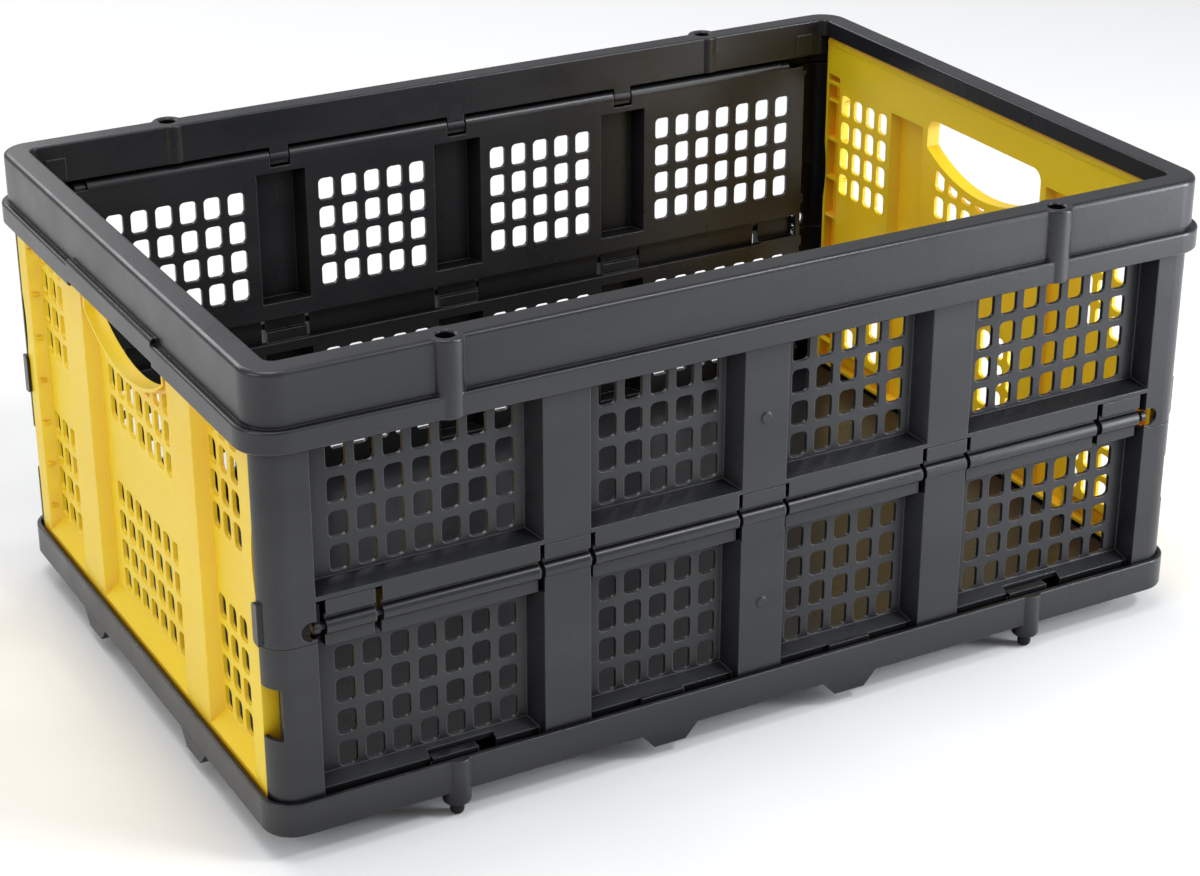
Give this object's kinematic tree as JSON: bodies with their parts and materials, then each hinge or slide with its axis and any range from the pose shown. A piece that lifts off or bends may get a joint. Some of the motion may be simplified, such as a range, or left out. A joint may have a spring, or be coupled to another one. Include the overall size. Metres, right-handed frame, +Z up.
{
  "type": "stacking plastic crate",
  "caption": "Folding, stacking plastic crate with slotted hinged long walls, a deep rim with stacking sockets, pins below, and end panels with handle openings that swing in.",
  "frame": {"origin": "on the ground under the middle of the crate, level with the tips of the stacking pins", "axes": "+Z up, +X along the long side, +Y across; front is -Y"},
  "size_m": [0.6, 0.4026, 0.28],
  "materials": {
    "black_plastic": "fine matt texture",
    "yellow_plastic": "satin",
    "hinge_rod": "dark coated wire"
  },
  "bodies": {
    "shell": {"rim_frame": "black_plastic", "base_tray": "black_plastic", "front_upper_wall": "black_plastic", "front_lower_wall": "black_plastic", "back_upper_wall": "black_plastic", "back_lower_wall": "black_plastic", "front_top_hinge_rod": "hinge_rod", "front_middle_hinge_rod": "hinge_rod", "front_bottom_hinge_rod": "hinge_rod", "back_top_hinge_rod": "hinge_rod", "back_middle_hinge_rod": "hinge_rod", "back_bottom_hinge_rod": "hinge_rod"},
    "left_panel": {"left_end_panel": "yellow_plastic"},
    "right_panel": {"right_end_panel": "yellow_plastic"}
  },
  "joints": [
    {"name": "right_panel_swing", "type": "hinge", "parent": "shell", "child": "right_panel", "pos_m": [0.288, 0, 0.264], "axis": [0, 1, 0], "range_deg": [0, 88]},
    {"name": "left_panel_swing", "type": "hinge", "parent": "shell", "child": "left_panel", "pos_m": [-0.288, 0, 0.264], "axis": [0, -1, 0], "range_deg": [0, 88]}
  ]
}
